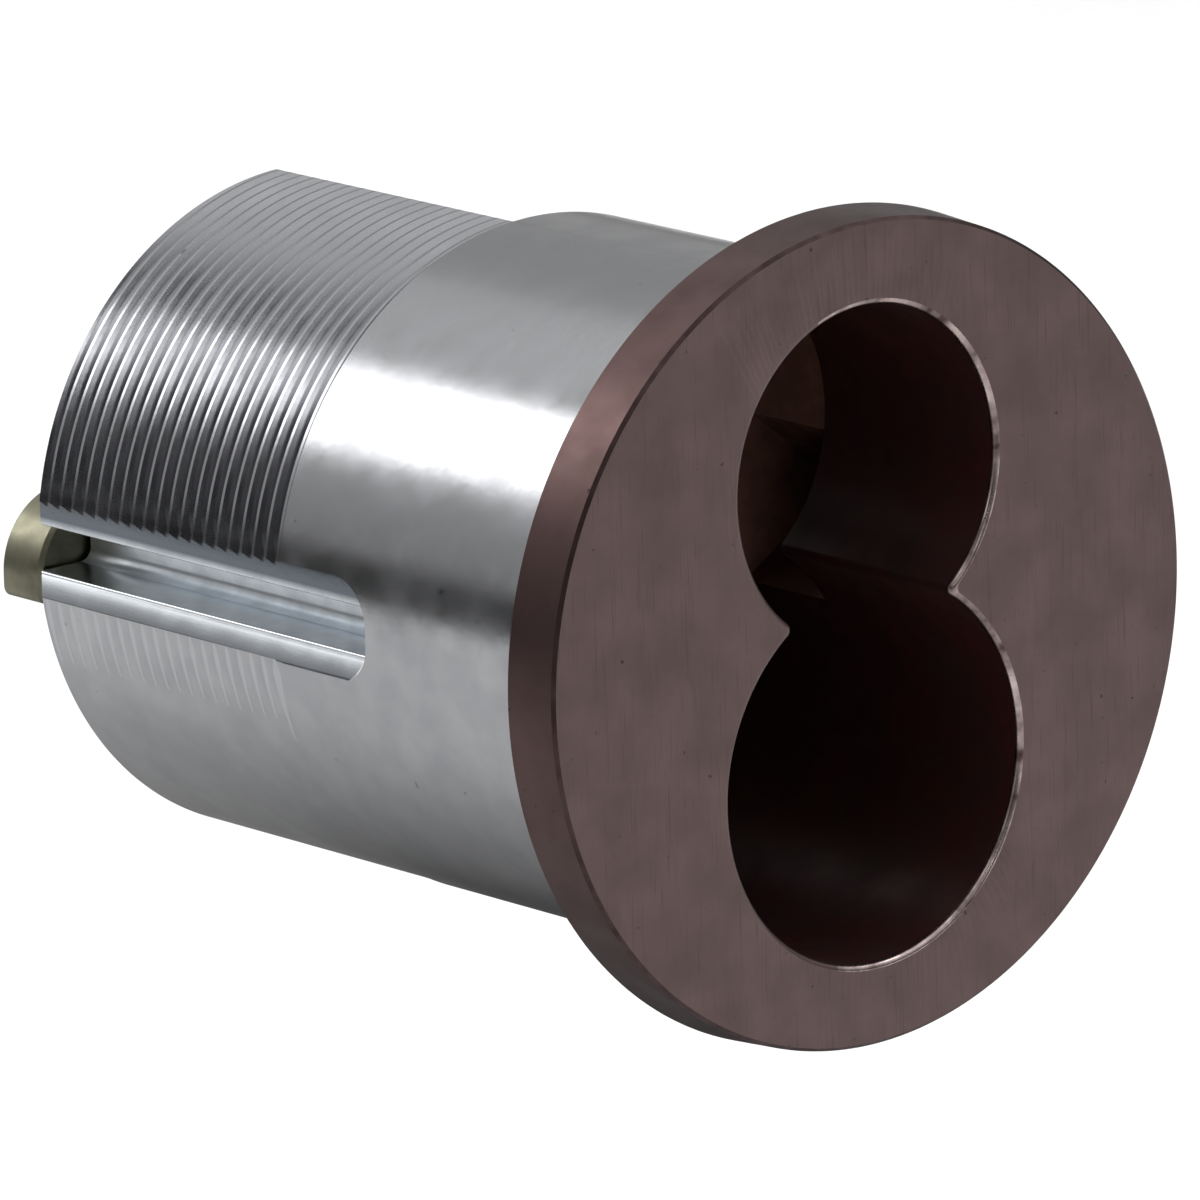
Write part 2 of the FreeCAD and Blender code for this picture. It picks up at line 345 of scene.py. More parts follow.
def cam_outline(inset):
    """Edge of the cam as (x, z) points, drawn in by a distance for its broken edges."""
    plate = HIGH["cam"].x
    reach = LOW["cam"].x
    top = HIGH["cam"].z
    notch = -CAM_TONGUE_BOTTOM - CAM_NOTCH_ROUND
    out = math.sqrt((plate + CAM_NOTCH_ROUND) ** 2 - (notch + PLUG_DROP) ** 2)
    turn = math.degrees(math.atan2(notch + PLUG_DROP, out))
    tip = (reach + CAM_TIP_ROUND, top - CAM_TIP_ROUND)
    heel = (reach + CAM_HEEL_ROUND, -CAM_TONGUE_BOTTOM + CAM_HEEL_ROUND)
    points = arc((0, -PLUG_DROP), plate - inset, -180 - turn, 90, CAM_STEPS)
    points += arc(tip, CAM_TIP_ROUND - inset, 90, 180, CAM_TIP_STEPS)
    points += arc(heel, CAM_HEEL_ROUND - inset, 180, 270, CAM_HEEL_STEPS)
    points += arc((-out, notch), CAM_NOTCH_ROUND + inset, 90, -turn, CAM_NOTCH_STEPS)[:-1]
    return points


# Cutters of the housing

def core_cutter():
    """The figure-of-eight bore up to the core's stop, its mouth rounded over and given painted
    glints all round but on the left."""
    sections = [(BORE_EDGE, FACE_Y - OVERRUN)]
    sections += [(BORE_EDGE * (1 - along), FACE_Y + BORE_EDGE * inwards)
                 for inwards, along in quarter(EDGE_STEPS)]
    sections += [(0.0, FACE_Y + LUG_FROM_FACE), (0.0, FLANGE_FRONT - CORE_STOP_GAP)]
    rings = [[Vector((x, y, z)) for x, z in bore_outline(grow)] for grow, y in sections]
    cutter = loft("core_cutter", rings, BORE_FINISH)
    deep = FACE_Y + LUG_FROM_FACE - SAME_PLACE
    # The deep upper part of the bore gets the patina painted paler as painted light.
    refinished(cutter, RECESS_FINISH, lambda corner: corner.y > deep and corner.z > 0)
    mouth = FACE_Y + BORE_EDGE + SAME_PLACE
    refinished(cutter, HEAD_FINISH, lambda corner: corner.y < mouth)
    # Painted glints on the mouth's rounded edge, all round but on the left.
    glints_from = -PLUG_BORE / 3
    return refinished(cutter, MOUTH_FINISH, lambda corner: corner.y < mouth and corner.x > glints_from)


def chamber_cutter():
    """The round space behind the core in which the pins and the flange turn."""
    start = LOW["drive_pin_left"].y - CHAMBER_LEAD
    radius = PLUG_BORE + CHAMBER_STEP
    return rod("chamber_cutter", radius, start, WALL_FRONT, -PLUG_DROP, BORE_FINISH)


def lug_cutter():
    """The sector about the plug's axis that clears the core's control lug."""
    front = FACE_Y + LUG_FROM_FACE
    outline = [(0.0, -PLUG_DROP)] + arc((0, -PLUG_DROP), LUG_RADIUS, *LUG_ANGLES, LUG_STEPS)
    # The lug recess gets the patina painted paler as painted light.
    return along_y("lug_cutter", outline, front, front + LUG_LENGTH, RECESS_FINISH)


def bevel_depths(share):
    """How deep the lower and the upper bevel lie at a share of the way in from their outer edge."""
    curve = max(share, 0) * (1 - share)
    return [depth * share + bow * curve for depth, bow in zip(SLOT_BEVEL_DEPTHS, SLOT_BEVEL_BOWS)]


def slot_levels():
    """The slot's plans from above the barrel down to its floor, each with its two depths."""
    half = SLOT_WIDTH / 2
    bevel_end = 1 - SLOT_EDGE_ROUND / SLOT_BEVEL_WIDTH
    shares = [bevel_end * i / SLOT_BEVEL_STEPS for i in range(SLOT_BEVEL_STEPS + 1)]
    levels = []
    for share in [-SLOT_LEAD_SHARE] + shares:
        plan = slot_outline(half + SLOT_BEVEL_WIDTH * (1 - share),
                            SLOT_FRONT + SLOT_FRONT_BEVEL * share, SLOT_END_ROUND, SLOT_END_HALF)
        levels.append((bevel_depths(share), plan))
    for inwards, along in quarter(EDGE_STEPS)[1:]:
        plan = slot_outline(half + SLOT_EDGE_ROUND * (1 - along), SLOT_FRONT + SLOT_FRONT_BEVEL,
                            SLOT_END_ROUND, SLOT_END_HALF)
        depths = [depth + SLOT_EDGE_ROUND * inwards for depth in bevel_depths(bevel_end)]
        levels.append((depths, plan))
    for inwards, along in quarter(SLOT_FLOOR_STEPS):
        inset = SLOT_FLOOR_ROUND * inwards
        depth = SLOT_DEPTH - SLOT_FLOOR_ROUND * (1 - along)
        plan = slot_outline(half - inset, SLOT_FRONT + SLOT_FRONT_BEVEL + inset,
                            SLOT_CHANNEL_ROUND - inset, half - inset)
        levels.append(((depth, depth), plan))
    return levels


def slot_cutter(side):
    """One flank slot: curved bevels down to a channel with a rounded floor; side is -1 or 1."""
    rings = []
    for (low_depth, high_depth), outline in slot_levels():
        bottom, top = outline[0][1], outline[-1][1]
        rings.append([])
        for y, z in outline:
            depth = low_depth + (high_depth - low_depth) * (z - bottom) / (top - bottom)
            rings[-1].append(Vector((side * (BARREL_RADIUS - depth), y, z)))
    cutter = loft("slot_cutter", rings, LOWER_BEVEL_FINISH)
    channel_top = SLOT_HEIGHT + SLOT_WIDTH / 2
    # The upper bevel gets the nickel with painted shade over its outer part.
    refinished(cutter, UPPER_BEVEL_FINISH, lambda corner: corner.z > channel_top)
    step = BARREL_RADIUS - max(SLOT_BEVEL_DEPTHS) - SLOT_EDGE_ROUND
    # The channel gets nickel painted paler as painted light.
    return refinished(cutter, CHANNEL_FINISH, lambda corner: abs(corner.x) < step)


def relief_cutter():
    """The block beyond the relief's plane."""
    outline = square(BARREL_RADIUS, BARREL_RADIUS - RELIEF_DEPTH)
    block = along_y("relief_cutter", outline, RELIEF_FRONT, BARREL_LENGTH + OVERRUN)
    block.data.transform(Matrix.Rotation(math.radians(90 - RELIEF_ANGLE), 4, "Y"))
    return block


def on_line(stops, place):
    """The value at a place on straight lines between (place, value) stops."""
    for (start, low), (end, high) in zip(stops, stops[1:]):
        if place <= end:
            return low + (high - low) * (place - start) / (end - start)
    return stops[-1][1]


def thread_cutter(turn):
    """One turn of the groove, from below one flank's slot, over the top, to below the other's. It
    fades out over the slots and touches the barrel once more below them."""
    first, last = THREAD_ENDS
    widest = THREAD_PITCH / 2 - SAME_PLACE
    crest_half = THREAD_ROOT + THREAD_DEPTH * math.tan(math.radians(THREAD_FLANK))
    fade = THREAD_FIRST_FADE if turn == THREAD_FIRST_TURN else THREAD_FADE
    rings = []
    for i in range(THREAD_STEPS + 1):
        degrees = first + (last - first) * i / THREAD_STEPS
        past = max(0.0, THREAD_FULL[0] - degrees, degrees - THREAD_FULL[1])
        depth = THREAD_DEPTH * on_line(fade, past)
        root = CREST_RADIUS - depth
        top = root + max(depth, THREAD_LEAST) * (widest - THREAD_ROOT) / (crest_half - THREAD_ROOT)
        middle = THREAD_FIRST + THREAD_PITCH * (turn - degrees / 360)
        a = math.radians(degrees)
        rings.append([
            Vector((r * math.cos(a), middle + y, r * math.sin(a)))
            for r, y in ((top, -widest), (root, -THREAD_ROOT), (root, THREAD_ROOT), (top, widest))
        ])
    return loft("thread_cutter", rings)


def thread_groove():
    """All turns of the groove, ended squarely where the smooth barrel begins."""
    turns = math.ceil((BARREL_LENGTH - THREAD_FRONT) / THREAD_PITCH)
    before, behind = THREAD_SPARE_TURNS
    pieces = [thread_cutter(turn) for turn in range(-before, turns + behind)]
    first = pieces[0]
    with bpy.context.temp_override(active_object=first, selected_editable_objects=pieces):
        bpy.ops.object.join()
    smooth_length = along_y("smooth_length", square(2 * BARREL_RADIUS), 0, THREAD_FRONT)
    return refinished(joined_cut(first, smooth_length), THREAD_FINISH, lambda corner: True)


# Pieces

def housing_blank():
    """Head and barrel turned from one bar, the head's edges broken, the front one painted dark as
    painted shade.
    """
    blank = turned("housing_body", [
        (AXIS, FACE_Y),
        (HEAD_REAR_RADIUS - HEAD_TAPER - HEAD_EDGE, FACE_Y),
        (HEAD_REAR_RADIUS - HEAD_TAPER, FACE_Y + HEAD_EDGE),
        (HEAD_REAR_RADIUS, -HEAD_EDGE),
        (HEAD_REAR_RADIUS - HEAD_EDGE, 0.0),
        (BARREL_RADIUS, 0.0),
        (BARREL_RADIUS, THREAD_FRONT),
        (CREST_RADIUS, THREAD_FRONT),
        (CREST_RADIUS, BARREL_LENGTH - BARREL_CHAMFER),
        (CREST_RADIUS - BARREL_CHAMFER, BARREL_LENGTH),
        (AXIS, BARREL_LENGTH),
    ], steps=BARREL_STEPS)
    edge = FACE_Y + HEAD_EDGE + SAME_PLACE
    middle = HEAD_REAR_RADIUS / 2
    # The rim gets the bronze painted darker as painted shade.
    refinished(blank, RIM_FINISH, lambda corner: corner.y < SAME_PLACE)
    # The head's front edge gets a dark line of painted shade.
    refinished(blank, EDGE_FINISH, lambda corner: (
        corner.y < edge and math.hypot(corner.x, corner.z) > middle))
    return refinished(blank, HEAD_FINISH, lambda corner: corner.y < FACE_Y + SAME_PLACE)


def housing(materials):
    """Head, barrel, bore, slots, relief and thread, cut from one turned blank."""
    body = housing_blank()
    for material in materials:
        body.data.materials.append(material)
    hub_hole = rod("hub_hole", HUB_RADIUS + HUB_CLEARANCE, WALL_FRONT - HUB_HOLE_LEAD,
                   BARREL_LENGTH + OVERRUN, -PLUG_DROP)
    cutters = [thread_groove(), core_cutter(), chamber_cutter(), lug_cutter(), hub_hole,
               slot_cutter(-1), slot_cutter(1), relief_cutter()]
    for cutter in cutters:
        body = joined_cut(body, cutter)
    return finished(body, materials, "housing", ["housing"])


def throw_member(material):
    """Flange and hub."""
    flange = HIGH["throw_member"].x
    flange_back = FLANGE_FRONT + FLANGE_THICKNESS
    body = turned("throw_member_turned", [
        (AXIS, FLANGE_FRONT),
        (flange - TURNED_EDGE, FLANGE_FRONT),
        (flange, FLANGE_FRONT + TURNED_EDGE),
        (flange, flange_back),
        (HUB_RADIUS, flange_back),
        (HUB_RADIUS, CAM_FRONT - TURNED_EDGE),
        (HUB_RADIUS - TURNED_EDGE, CAM_FRONT),
        (AXIS, CAM_FRONT),
    ], z=-PLUG_DROP)
    return finished(body, [material], "driver", ["throw_member"])


def drive_pin(node, material):
    """A dowel with a rounded tip."""
    low, high = LOW[node], HIGH[node]
    radius = (high.x - low.x) / 2
    rounded = [(radius - PIN_TIP_ROUND * (1 - along), low.y + PIN_TIP_ROUND * inwards)
               for inwards, along in quarter(PIN_TIP_STEPS)]
    profile = [(AXIS, low.y)] + rounded + [(radius, high.y), (AXIS, high.y)]
    pin = turned(node + "_turned", profile, (low.x + high.x) / 2, -PLUG_DROP, PIN_STEPS)
    return finished(pin, [material], "driver", [node])


def screw_seat(screw):
    """The countersunk hole of one cam screw."""
    hole = SCREW_RADIUS + SCREW_HOLE_CLEARANCE
    head = HIGH[screw].x + SEAT_CLEARANCE
    return turned("screw_seat", [
        (AXIS, CAM_FRONT - OVERRUN),
        (hole, CAM_FRONT - OVERRUN),
        (hole, CAM_BACK - SCREW_HEAD_EDGE - SCREW_TAPER),
        (head, CAM_BACK - SCREW_HEAD_EDGE),
        (head, CAM_BACK + OVERRUN),
        (AXIS, CAM_BACK + OVERRUN),
    ], z=(LOW[screw].z + HIGH[screw].z) / 2, steps=SCREW_STEPS)


def cam(material):
    """The cam plate with broken edges and countersunk holes."""
    levels = [
        (CAM_FRONT, CAM_EDGE),
        (CAM_FRONT + CAM_EDGE, 0.0),
        (CAM_BACK - CAM_EDGE, 0.0),
        (CAM_BACK, CAM_EDGE),
    ]
    rings = [[Vector((x, y, z)) for x, z in cam_outline(inset)] for y, inset in levels]
    plate = loft("cam_plate", rings)
    for screw in ("cam_screw_lower", "cam_screw_upper"):
        plate = joined_cut(plate, screw_seat(screw))
    return finished(plate, [material], "driver", ["cam"])


def cam_screw(node, material):
    """A flat-head screw with a straight slot."""
    low, high = LOW[node], HIGH[node]
    middle = (low.z + high.z) / 2
    head = high.x
    body = turned(node + "_turned", [
        (AXIS, low.y),
        (SCREW_RADIUS - SCREW_END, low.y),
        (SCREW_RADIUS, low.y + SCREW_END),
        (SCREW_RADIUS, high.y - SCREW_HEAD_EDGE - SCREW_TAPER),
        (head, high.y - SCREW_HEAD_EDGE),
        (head, high.y - SCREW_HEAD_BREAK),
        (head - SCREW_HEAD_BREAK, high.y),
        (AXIS, high.y),
    ], z=middle, steps=SCREW_STEPS)
    across, half = head + OVERRUN, SCREW_SLOT_WIDTH / 2
    outline = [(-across, middle - half), (across, middle - half),
               (across, middle + half), (-across, middle + half)]
    slot = along_y("driver_slot", outline, high.y - SCREW_SLOT_DEPTH, high.y + OVERRUN)
    return finished(joined_cut(body, slot), [material], "driver", [node])


# Materials

# Grains alike in every direction, and drawn out along the lines that a tool or a belt leaves
EVEN = (1, 1, 1)
ROUND_THE_BARREL = (40, 1, 40)
ALONG_THE_BARREL = (1, 40, 1)
UPRIGHT = (1, 1, 40)

# Noise lies mostly between these values, has this much finer noise in it and is this rough
NOISE_LOW, NOISE_HIGH = 0.34, 0.66
NOISE_DETAIL = 3.0
NOISE_ROUGHNESS = 0.55

# A mark's soft edge, in the noise's own values
MARK_EDGE = 0.05

# The colour sockets of a Mix node, whose names its other sockets have too
FIRST_COLOUR, SECOND_COLOUR, MIXED_COLOUR = 6, 7, 2


def srgb(code):
    """Linear colour from an sRGB hex value."""
    values = [int(code[i:i + 2], 16) / 255 for i in (0, 2, 4)]
    linear = [v / 12.92 if v <= 0.04045 else ((v + 0.055) / 1.055) ** 2.4 for v in values]
    return (*linear, 1.0)


def add_node(tree, kind, inputs=None, **settings):
    """Adds one shader node; each input is a value or the socket that feeds it."""
    made = tree.nodes.new("ShaderNode" + kind)
    for name, value in settings.items():
        setattr(made, name, value)
    for key, value in (inputs or {}).items():
        if isinstance(value, bpy.types.NodeSocket):
            tree.links.new(value, made.inputs[key])
        else:
            made.inputs[key].default_value = value
    return made


def grain(tree, size, stretch):
    """Noise on the object itself, its grains of a real size in millimetres and drawn out."""
    place = add_node(tree, "TexCoord").outputs["Object"]
    scale = tuple(1 / (size * MM * drawn) for drawn in stretch)
    mapped = add_node(tree, "Mapping", {"Vector": place, "Scale": scale}).outputs[0]
    noise = {"Vector": mapped, "Scale": 1.0, "Detail": NOISE_DETAIL,
             "Roughness": NOISE_ROUGHNESS}
    return add_node(tree, "TexNoise", noise).outputs[0]


def surface(name, colours, rough, cloud, relief, metallic=1.0):
    """A material whose two colours and two roughnesses are clouded together over its relief.

    The cloud is a grain size with its stretch; each layer of relief also has its depth in
    millimetres.
    """
    material = bpy.data.materials.new(name)
    material.use_nodes = True
    tree = material.node_tree
    tree.nodes.clear()
    shader = add_node(tree, "BsdfPrincipled", {"Metallic": metallic})
    shader.name = "shader"
    clouds = {"Value": grain(tree, *cloud), "From Min": NOISE_LOW, "From Max": NOISE_HIGH}
    share = add_node(tree, "MapRange", clouds).outputs[0]
    colour = {"Factor": share, FIRST_COLOUR: srgb(colours[0]), SECOND_COLOUR: srgb(colours[1])}
    mixed = add_node(tree, "Mix", colour, data_type="RGBA").outputs[MIXED_COLOUR]
    dull = add_node(tree, "MapRange", {**clouds, "To Min": rough[0], "To Max": rough[1]})
    tree.links.new(mixed, shader.inputs["Base Color"])
    tree.links.new(dull.outputs[0], shader.inputs["Roughness"])
    height = None
    for size, stretch, depth in relief:
        layer = {"Height": grain(tree, size, stretch), "Distance": depth * MM}
        if height is not None:
            layer["Normal"] = height
        height = add_node(tree, "Bump", layer).outputs[0]
    if height is not None:
        tree.links.new(height, shader.inputs["Normal"])
    add_node(tree, "OutputMaterial", {"Surface": shader.outputs[0]})
    return material


def marked(material, size, stretch, start, colour):
    """Scatters marks of a real size in a colour of their own where noise rises over a start."""
    tree = material.node_tree
    base = tree.nodes["shader"].inputs["Base Color"]
    marks = grain(tree, size, stretch)
    edges = {"Value": marks, "From Min": start, "From Max": start + MARK_EDGE}
    share = add_node(tree, "MapRange", edges).outputs[0]
    colours = {"Factor": share, FIRST_COLOUR: base.links[0].from_socket, SECOND_COLOUR: srgb(colour)}
    tree.links.new(add_node(tree, "Mix", colours, data_type="RGBA").outputs[MIXED_COLOUR], base)
    return material


def fading(material, axis, start, end, colour):
    """Turns the base colour to another one from a start to an end, in millimetres along the
    object's own X, Y or Z."""
    tree = material.node_tree
    base = tree.nodes["shader"].inputs["Base Color"]
    place = add_node(tree, "TexCoord").outputs["Object"]
    across = add_node(tree, "SeparateXYZ", {"Vector": place}).outputs[axis]
    ends = {"Value": across, "From Min": start * MM, "From Max": end * MM}
    share = add_node(tree, "MapRange", ends).outputs[0]
    colours = {"Factor": share, FIRST_COLOUR: base.links[0].from_socket, SECOND_COLOUR: srgb(colour)}
    tree.links.new(add_node(tree, "Mix", colours, data_type="RGBA").outputs[MIXED_COLOUR], base)
    return material


def coated(material, weight, rough):
    """Adds a thin clear coat, its weight and roughness even all over."""
    shader = material.node_tree.nodes["shader"]
    shader.inputs["Coat Weight"].default_value = weight
    shader.inputs["Coat Roughness"].default_value = rough
    return material


def satin_nickel():
    """Nickel plated on turned brass and bead-dulled: soft reflections that sway a little over the
    2 mm mottle, hair-fine turning lines round the barrel and a few dull handling marks. The real
    lines are finer than the picture shows, so they are drawn 0.09 mm apart."""
    material = surface("satin_nickel_plate", ("ABACAE", "A0A1A4"), (0.18, 0.25), (2.2, EVEN), [
        (2.2, EVEN, 0.010),
        (0.35, EVEN, 0.0016),
        (0.09, ROUND_THE_BARREL, 0.0006),
    ])
    return marked(material, 0.8, EVEN, 0.72, "77777A")


def channel_nickel_painted_light():
    """Nickel over the cutter's lines in the slot's channel: much duller than the barrel, with lines
    along it, its colour painted paler than the barrel's as painted light to lift the shade in the
    deep channel."""
    return surface("channel_nickel_painted_light_plate", ("E2E6EA", "D2D7DB"), (0.3, 0.42), (1.2, EVEN), [
        (0.12, ALONG_THE_BARREL, 0.003),
        (0.5, EVEN, 0.003),
    ])


def thread_nickel_painted_shade():
    """Nickel in the thread: like the barrel over the top, painted darker down the flanks as painted
    shade, and painted paler below the slots as painted light."""
    material = surface("thread_nickel_painted_shade", ("85868A", "7D7E82"), (0.18, 0.25), (2.2, EVEN), [
        (0.35, EVEN, 0.0016),
    ])
    # Painted shade and light set by height: paler over the top and below the slots, darker down the
    # flanks.
    fading(material, "Z", BARREL_RADIUS / 2, BARREL_RADIUS * 2 / 3, "A8A9AC")
    return fading(material, "Z", 0.0, -SLOT_WIDTH, "B3B4B7")


def lower_bevel_painted_shade():
    """Nickel over the lower bevel's smooth cut, pale along its inner edge and painted darker towards
    its outer edge as painted shade, so that the dome runs from white to grey across its width."""
    material = surface("lower_bevel_painted_shade", ("D0D4D8", "C6CACE"), (0.2, 0.26), (1.2, EVEN), [
        (0.12, ALONG_THE_BARREL, 0.0008),
        (0.9, EVEN, 0.003),
    ])
    # Painted shade: the colour darkens outwards from the channel's lower edge.
    inner_edge = SLOT_HEIGHT - SLOT_WIDTH / 2
    start, end = LOWER_BEVEL_PAINTED_SHADE
    return fading(material, "Z", inner_edge - start, inner_edge - end, "8E9398")


def upper_bevel_painted_shade():
    """The upper bevel: pale along its inner edge, with blue-grey painted shade over its outer part."""
    material = surface("upper_bevel_painted_shade", ("D2D8DC", "C4CACE"), (0.2, 0.28), (1.2, EVEN), [
        (0.12, ALONG_THE_BARREL, 0.002),
        (0.9, EVEN, 0.004),
    ])
    # Painted shade: the colour darkens outwards from the channel's upper edge.
    inner_edge = SLOT_HEIGHT + SLOT_WIDTH / 2
    start, end = UPPER_BEVEL_PAINTED_SHADE
    return fading(material, "Z", inner_edge + start, inner_edge + end, "666D75")


def oil_rubbed_bronze():
    """Bronze darkened in a bath, brushed upright and waxed: brown-black with soft cloudy
    highlights, faint lines and dark specks. The lines are drawn 0.08 mm wide to show."""
    material = surface("oil_rubbed_bronze", ("5F4D4B", "584644"), (0.34, 0.46), (2.6, EVEN), [
        (0.08, UPRIGHT, 0.0020),
        (0.9, EVEN, 0.003),
    ])
    marked(material, 0.08, UPRIGHT, 0.60, "524140")
    marked(material, 0.45, EVEN, 0.70, "33262A")
    return coated(material, 0.4, 0.3)


def bronze_rim_painted_shade():
    """The same bronze on the turned rim, left smoother for a narrower highlight, its colour painted
    darker than the face's as painted shade.
    """
    material = surface("bronze_rim_painted_shade", ("554443", "4B3B39"), (0.34, 0.42), (2.6, EVEN), [
        (0.12, ALONG_THE_BARREL, 0.0012),
        (0.9, EVEN, 0.003),
    ])
    return marked(material, 0.45, EVEN, 0.70, "33262A")


def bronze_edge_painted_shade():
    """The head's broken front edge: a thin darker line of painted shade."""
    return surface("bronze_edge_painted_shade", ("463838", "362A2A"), (0.4, 0.5), (1.0, EVEN), [
        (0.9, EVEN, 0.003),
    ])


def bronze_mouth_painted_glints():
    """The mouth's rounded edge: pale painted glints at the bottom and on the right, in patches
    between darker ones."""
    return surface("bronze_mouth_painted_glints", ("B8A8A5", "4C3C3A"), (0.24, 0.34), (1.5, EVEN), [
        (0.9, EVEN, 0.003),
    ])


def bath_darkened_bore():
    """The same bath in the bore, left unbrushed: a red-black skin with little metal in its gloss,
    over the reamer's lines."""
    return surface("dark_patina_in_bore", ("351716", "281211"), (0.34, 0.5), (2.4, EVEN), [
        (0.12, ROUND_THE_BARREL, 0.002),
        (0.8, EVEN, 0.004),
    ], metallic=0.15)


def patina_painted_light():
    """Deep in the bore and in its recess: a brown skin painted paler than the bore's as painted
    light, to lift the shade there."""
    return surface("patina_painted_light_deep_in_bore", ("6E4A3C", "56382D"), (0.45, 0.6), (1.6, EVEN), [
        (0.12, ROUND_THE_BARREL, 0.003),
    ], metallic=0.15)


def turned_brass():
    """Brass straight from the lathe: warm yellow with fine rings."""
    return surface("turned_brass", ("9C8B5A", "7E6F46"), (0.25, 0.4), (1.8, EVEN), [
        (0.06, ROUND_THE_BARREL, 0.0015),
    ])


def ground_steel():
    """Centreless-ground dowel steel: bright and fine-grained along the pin."""
    return surface("ground_steel", ("A9A9AC", "8F9093"), (0.18, 0.3), (1.8, EVEN), [
        (0.05, ALONG_THE_BARREL, 0.0015),
    ])


def tumbled_nickel():
    """A stamped brass cam, tumbled and thinly nickel plated: dull and yellowish, finely dented."""
    return surface("tumbled_nickel", ("7E7C6A", "6C6A5A"), (0.32, 0.46), (1.4, EVEN), [
        (0.2, EVEN, 0.0015),
    ])


def zinc_plated_steel():
    """Zinc-plated screw steel: light grey, slightly cloudy."""
    return surface("zinc_plated_steel", ("A6A8A6", "8E908E"), (0.25, 0.4), (1.8, EVEN), [
        (0.08, EVEN, 0.0015),
    ])


# Camera, floor and lights

# The camera, fitted to the outlines of head, barrel and bore: its place, lens, sensor and nearest
# distance in millimetres, and its turn, dip and roll in radians
CAMERA_PLACE = (-346.524, -385.582, 133.128)
CAMERA_TURN = 0.714
CAMERA_DIP = 0.249
CAMERA_ROLL = -0.030
CAMERA_LENS = 388.66
CAMERA_SENSOR = 36.0
CAMERA_NEAREST = 10.0

# Height of the table top and half its width, and height of the card under the barrel
FLOOR = -45.0
FLOOR_HALF = 3000.0
CARD_LEVEL = -21.4

# Grain of the table top and of the cards, in millimetres
TABLE_GRAIN = 40.0
CARD_GRAIN = 30.0


def camera():
    """The photograph's viewpoint."""
    turn, dip, roll = CAMERA_TURN, CAMERA_DIP, CAMERA_ROLL
    data = bpy.data.cameras.new("camera")
    data.sensor_width = CAMERA_SENSOR
    data.lens = CAMERA_LENS
    data.clip_start = CAMERA_NEAREST * MM
    ahead = Vector((math.sin(turn) * math.cos(dip), math.cos(turn) * math.cos(dip), -math.sin(dip)))
    right = Vector((math.cos(turn), -math.sin(turn), 0))
    up = right.cross(ahead)
    rolled_right = math.cos(roll) * right + math.sin(roll) * up
    rolled_up = math.cos(roll) * up - math.sin(roll) * right
    matrix = Matrix((rolled_right, rolled_up, -ahead)).transposed().to_4x4()
    matrix.translation = Vector(CAMERA_PLACE) * MM
    made = bpy.data.objects.new("camera", data)
    made.matrix_world = matrix
    bpy.context.scene.collection.objects.link(made)
    bpy.context.scene.camera = made


def floor():
    """A plain pale table top."""
    outline = square(FLOOR_HALF)
    top = solid("floor", [Vector((x, y, FLOOR)) * MM for x, y in outline], [(0, 1, 2, 3)])
    top.data.materials.append(surface("pale_table", ("F6F6F6", "FBFBFB"), (0.7, 0.75),
                                      (TABLE_GRAIN, EVEN), [], metallic=0.0))


def facing_barrel(direction, distance, along):
    """A place in a direction from the barrel's middle, its Z away from it and its X along."""
    aim = Vector((0, BARREL_LENGTH / 2, 0)) * MM
    back = Vector(direction).normalized()
    side = (Vector(along) - back * back.dot(Vector(along))).normalized()
    matrix = Matrix((side, back.cross(side), back)).transposed().to_4x4()
    matrix.translation = aim + back * distance * MM
    return matrix


def softbox(name, direction, distance, size, brightness, along=(0, 1, 0)):
    """A soft light aimed at the barrel; its brightness is that of its face, paper white 1."""
    light = bpy.data.lights.new(name, "AREA")
    light.shape = "RECTANGLE"
    light.size, light.size_y = (s * MM for s in size)
    light.energy = brightness * math.pi * light.size * light.size_y
    made = bpy.data.objects.new(name, light)
    made.matrix_world = facing_barrel(direction, distance, along)
    bpy.context.scene.collection.objects.link(made)


def only_mirrored(card):
    """A card that the metal mirrors but the camera doesn't see."""
    card.visible_camera = False
    card.visible_shadow = False
    card.visible_diffuse = False


def dark_card(name, direction, distance, size, along=(0, 0, 1)):
    """A black card turned to the barrel."""
    across, up = size[0] / 2, size[1] / 2
    corners = [(-across, -up), (across, -up), (across, up), (-across, up)]
    card = solid(name, [Vector((x, y, 0)) * MM for x, y in corners], [(0, 1, 2, 3)])
    card.data.transform(facing_barrel(direction, distance, along))
    card.data.materials.append(surface("black_card", ("161616", "1C1C1C"), (0.9, 0.9),
                                       (CARD_GRAIN, EVEN), [], metallic=0.0))
    only_mirrored(card)


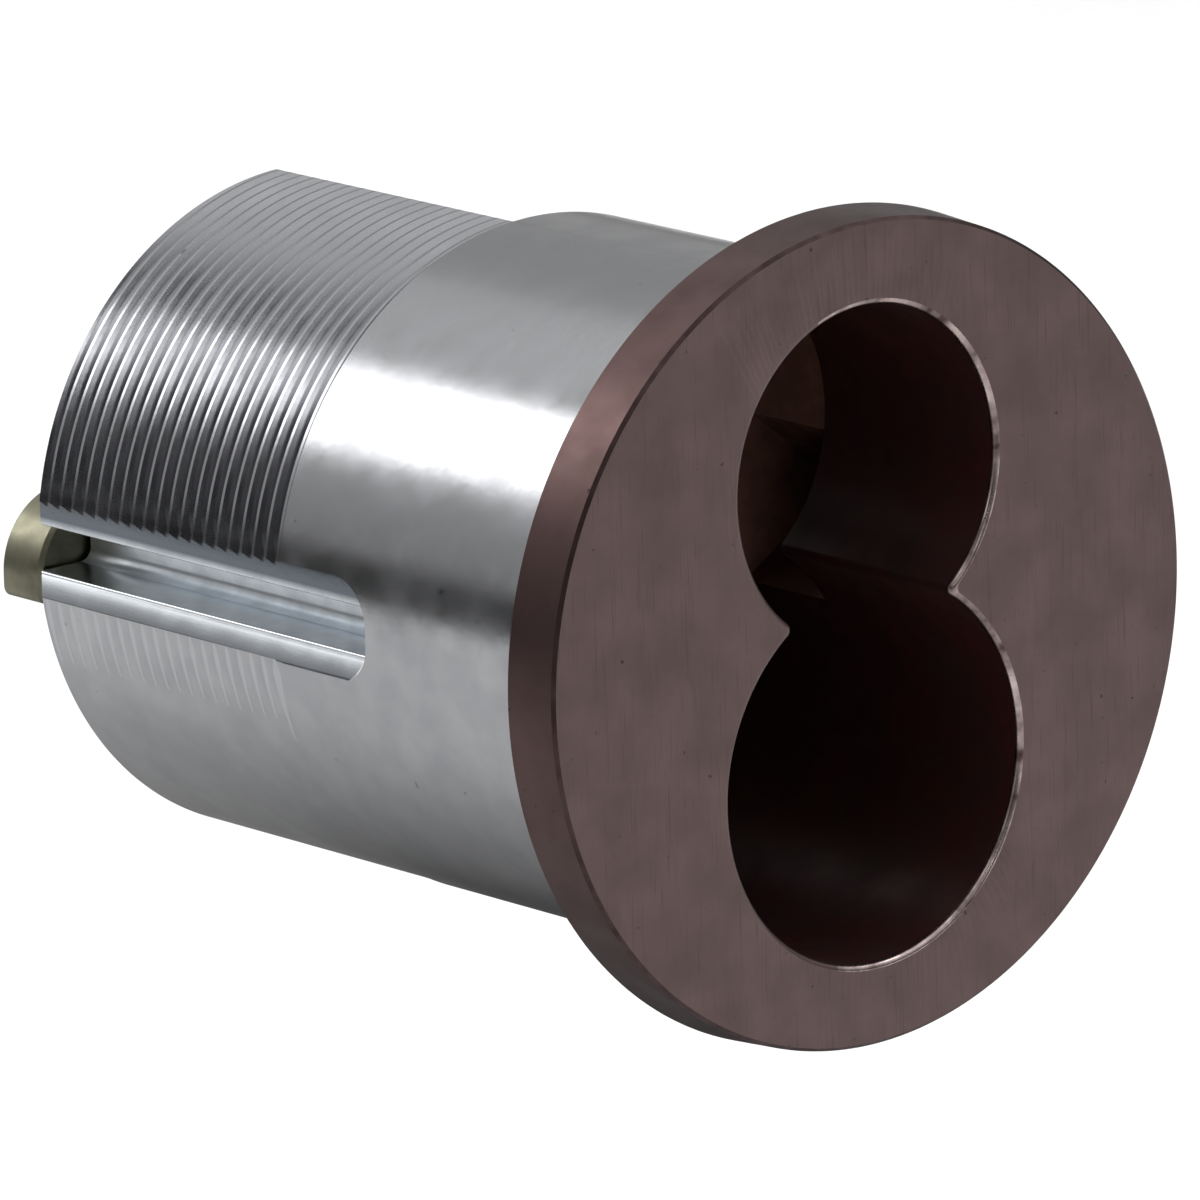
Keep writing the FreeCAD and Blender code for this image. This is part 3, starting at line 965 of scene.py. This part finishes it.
def under_card():
    """A grey card under the barrel, paler to the left and darker beneath the barrel as painted
    shadow of the barrel on the table, which only the metal mirrors.
    """
    left, right, front, back = -150.0, 60.0, -1.0, 160.0
    pale_until, grey_from = -24.0, 2.0
    corners = [(left, front), (right, front), (right, back), (left, back)]
    card = solid("under_card", [Vector((x, y, CARD_LEVEL)) * MM for x, y in corners], [(0, 1, 2, 3)])
    material = surface("shaded_card", ("D9D9D9", "D9D9D9"), (0.9, 0.9), (CARD_GRAIN, EVEN), [],
                       metallic=0.0)
    # The card's grey end is painted shadow of the barrel on the table, seen only in the metal's
    # reflections.
    card.data.materials.append(fading(material, "X", pale_until, grey_from, "787878"))
    only_mirrored(card)


def surroundings(grey, strength):
    """Even studio light from all round."""
    world = bpy.data.worlds.new("studio")
    world.use_nodes = True
    background = world.node_tree.nodes["Background"]
    background.inputs["Color"].default_value = srgb(grey)
    background.inputs["Strength"].default_value = strength
    bpy.context.scene.world = world


def studio():
    """Soft lights placed by where the barrel and the head mirror them."""
    surroundings("FFFFFF", 0.08)
    softbox("key", (-0.42, 0.73, 0.545), 500, (900, 170), 3.6)
    softbox("back_panel", (-0.02, 0.84, 0.42), 900, (2600, 800), 0.36, (1, 0, 0))
    softbox("panel", (0.02, 0.73, 0.66), 500, (900, 200), 0.2)
    softbox("overhead", (0.0, 0.0, 1.0), 900, (1700, 1400), 1.3)
    softbox("left_fill", (-0.95, -0.10, 0.38), 900, (700, 400), 0.8)
    softbox("right_fill", (0.90, -0.30, 0.38), 900, (700, 400), 0.8)
    softbox("front_strip", (-0.13, -0.935, 0.38), 600, (500, 50), 5.0, (1, 0.15, 0))
    softbox("front_right", (0.44, -0.70, 0.56), 600, (350, 350), 0.7)
    softbox("lip_light", (0.635, -0.244, 0.73), 700, (250, 250), 3.2)
    dark_card("horizon_card", (-0.68, 0.73, -0.035), 190, (43, 400))
    dark_card("front_card", (-0.30, -0.95, 0.10), 190, (85, 300))
    under_card()


bpy.context.scene.view_settings.view_transform = "Standard"
camera()
floor()
studio()

housing([satin_nickel(), oil_rubbed_bronze(), bronze_rim_painted_shade(), bronze_edge_painted_shade(),
         bronze_mouth_painted_glints(), bath_darkened_bore(), patina_painted_light(), thread_nickel_painted_shade(),
         lower_bevel_painted_shade(), upper_bevel_painted_shade(), channel_nickel_painted_light()])
throw_member(turned_brass())
for pin in ("drive_pin_left", "drive_pin_right"):
    drive_pin(pin, ground_steel())
cam(tumbled_nickel())
for screw in ("cam_screw_lower", "cam_screw_upper"):
    cam_screw(screw, zinc_plated_steel())
